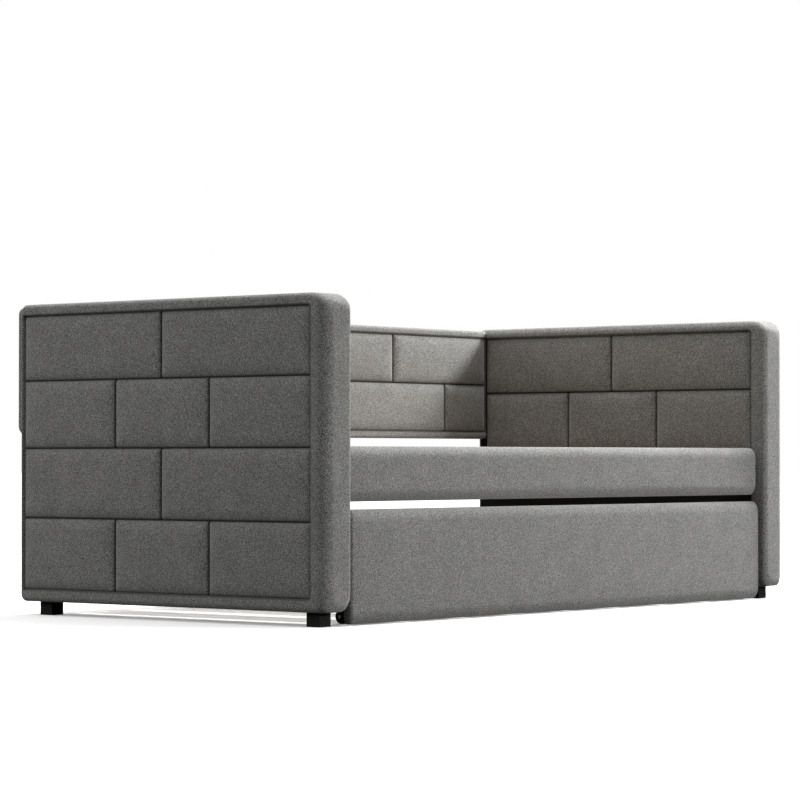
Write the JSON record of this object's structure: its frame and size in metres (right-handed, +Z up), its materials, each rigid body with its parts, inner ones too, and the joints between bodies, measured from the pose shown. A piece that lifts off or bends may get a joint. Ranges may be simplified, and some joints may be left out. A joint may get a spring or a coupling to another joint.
{
  "type": "trundle bed",
  "caption": "Upholstered daybed with brick-quilted arms and back, slatted mattress base, block feet and a pull-out trundle that rolls on casters.",
  "frame": {"origin": "centre of the footprint, on the floor", "axes": "+X to the right seen from the front, along the bed's length; +Y to the rear; +Z up"},
  "size_m": [2.135, 1.102, 0.831],
  "materials": {
    "grey_fabric": "speckled woven polyester over foam",
    "black_lining": "matt non-woven dust cloth",
    "plywood": "sanded, unpainted",
    "pine": "planed, unpainted",
    "black_foot": "matt black",
    "black_steel": "black powder coat",
    "zinc_steel": "zinc plated",
    "black_wheel": "moulded, satin"
  },
  "bodies": {
    "daybed": {"left_arm_frame": "plywood", "left_arm_cover": "grey_fabric", "left_arm_outer_panel": "grey_fabric", "left_arm_inner_panel": "grey_fabric", "left_arm_lining": "black_lining", "right_arm_frame": "plywood", "right_arm_cover": "grey_fabric", "right_arm_outer_panel": "grey_fabric", "right_arm_inner_panel": "grey_fabric", "right_arm_lining": "black_lining", "front_left_foot": "black_foot", "front_right_foot": "black_foot", "rear_left_foot": "black_foot", "rear_right_foot": "black_foot", "foot_studs": "zinc_steel", "back_frame": "plywood", "back_cover": "grey_fabric", "back_panel": "grey_fabric", "front_rail_board": "plywood", "front_rail_cover": "grey_fabric", "front_ledger": "pine", "rear_rail_board": "plywood", "rear_rail_cover": "grey_fabric", "rear_ledger": "pine", "rail_brackets": "black_steel", "frame_bolts": "zinc_steel", "rail_screws": "zinc_steel", "bed_slat_1": "pine", "bed_slat_2": "pine", "bed_slat_3": "pine", "bed_slat_4": "pine", "bed_slat_5": "pine", "bed_slat_6": "pine", "bed_slat_7": "pine", "bed_slat_8": "pine", "bed_slat_9": "pine"},
    "trundle": {"trundle_front_board": "plywood", "trundle_front_cover": "grey_fabric", "trundle_left_side": "plywood", "trundle_right_side": "plywood", "trundle_back_board": "plywood", "trundle_ledger": "pine", "trundle_slat_1": "pine", "trundle_slat_2": "pine", "trundle_slat_3": "pine", "trundle_slat_4": "pine", "trundle_slat_5": "pine", "trundle_slat_6": "pine", "trundle_slat_7": "pine", "trundle_slat_8": "pine", "caster_bracket_front_left": "black_steel", "caster_bracket_front_right": "black_steel", "caster_bracket_rear_left": "black_steel", "caster_bracket_rear_right": "black_steel", "caster_axles": "zinc_steel", "caster_screws": "zinc_steel"},
    "wheel_front_left": {"caster_wheel_front_left": "black_wheel"},
    "wheel_front_right": {"caster_wheel_front_right": "black_wheel"},
    "wheel_rear_left": {"caster_wheel_rear_left": "black_wheel"},
    "wheel_rear_right": {"caster_wheel_rear_right": "black_wheel"}
  },
  "joints": [
    {"name": "trundle_slide", "type": "slide", "parent": "daybed", "child": "trundle", "axis": [0, -1, 0], "range_m": [0, 1.05]},
    {"name": "wheel_front_left_spin", "type": "hinge", "parent": "trundle", "child": "wheel_front_left", "pos_m": [-0.88, -0.45, 0.019], "axis": [1, 0, 0], "continuous": true},
    {"name": "wheel_front_right_spin", "type": "hinge", "parent": "trundle", "child": "wheel_front_right", "pos_m": [0.88, -0.45, 0.019], "axis": [1, 0, 0], "continuous": true},
    {"name": "wheel_rear_left_spin", "type": "hinge", "parent": "trundle", "child": "wheel_rear_left", "pos_m": [-0.44, 0.427, 0.019], "axis": [1, 0, 0], "continuous": true},
    {"name": "wheel_rear_right_spin", "type": "hinge", "parent": "trundle", "child": "wheel_rear_right", "pos_m": [0.44, 0.427, 0.019], "axis": [1, 0, 0], "continuous": true}
  ],
  "couplings": [
    {"joint": "wheel_front_left_spin", "follows": "trundle_slide", "rad_per_m": 52.632},
    {"joint": "wheel_front_right_spin", "follows": "trundle_slide", "rad_per_m": 52.632},
    {"joint": "wheel_rear_left_spin", "follows": "trundle_slide", "rad_per_m": 52.632},
    {"joint": "wheel_rear_right_spin", "follows": "trundle_slide", "rad_per_m": 52.632}
  ]
}
